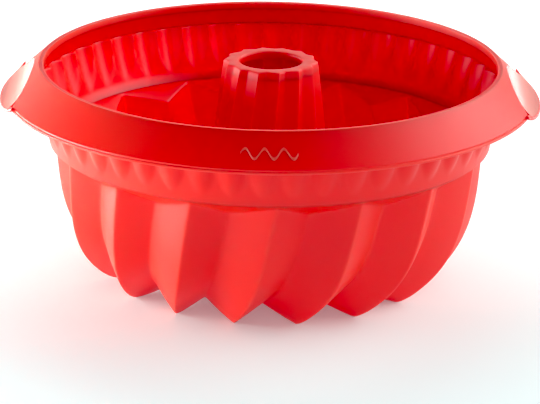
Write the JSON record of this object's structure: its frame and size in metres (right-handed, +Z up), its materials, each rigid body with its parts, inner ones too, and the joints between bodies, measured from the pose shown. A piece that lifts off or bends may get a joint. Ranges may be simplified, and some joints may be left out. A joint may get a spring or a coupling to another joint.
{
  "type": "bundt pan",
  "caption": "Flexible ring cake mould with slanting ridges, a scalloped band, an open fluted centre tube, a sloping rim skirt and two scooped thumb rests.",
  "frame": {"origin": "on the pan's axis, at the surface that its feet stand on", "axes": "+Z up along the pan's axis, +X through the right-hand handle, -Y the front with the raised wave"},
  "size_m": [0.2688, 0.2628, 0.111],
  "materials": {
    "silicone_satin": "satin moulded silicone, bright red, slightly translucent, soft sheen",
    "silicone_polished": "the same silicone with a polished, pale, mirror-like face on the thumb rests"
  },
  "bodies": {
    "root": {"rim_lip": "silicone_satin", "rim_skirt": "silicone_satin", "rim_wave": "silicone_satin", "left_handle": "silicone_polished", "right_handle": "silicone_polished", "upper_wall": "silicone_satin", "scalloped_wall": "silicone_satin", "ridged_wall": "silicone_satin", "base_crown": "silicone_satin", "centre_tube": "silicone_satin", "tube_collar": "silicone_satin"}
  },
  "joints": []
}
